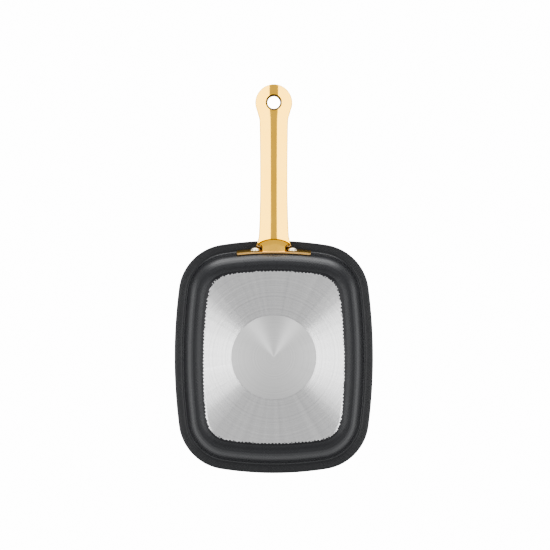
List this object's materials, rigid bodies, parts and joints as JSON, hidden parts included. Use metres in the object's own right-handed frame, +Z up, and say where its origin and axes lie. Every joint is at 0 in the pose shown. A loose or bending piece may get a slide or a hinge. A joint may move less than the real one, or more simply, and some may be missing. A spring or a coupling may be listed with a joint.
{
  "type": "square frying pan",
  "caption": "Rectangular frying pan with bowed sides, a flared rim, a turned bare base with a flush disc, and a riveted hollow gold handle with a hanging hole.",
  "frame": {"origin": "centre of the flat standing face, under the middle of the pan", "axes": "+Z up out of the pan, -Y along the handle, +X across the pan"},
  "size_m": [0.24, 0.4706, 0.0624],
  "materials": {
    "coated_aluminium": "dark textured non-stick coating on pressed aluminium, turned bare on the standing face",
    "turned_disc": "lathe-turned bare metal with fine concentric lines",
    "gold_handle": "mirror-polished gold-coloured metal",
    "bright_rivet": "bright satin rivet heads"
  },
  "bodies": {
    "root": {"pan_body": "coated_aluminium", "base_disc": "turned_disc", "handle_bracket": "gold_handle", "handle_bottom_shell": "gold_handle", "handle_top_shell": "gold_handle", "hanging_eyelet": "gold_handle", "rivet_left": "bright_rivet", "rivet_right": "bright_rivet"}
  },
  "joints": []
}
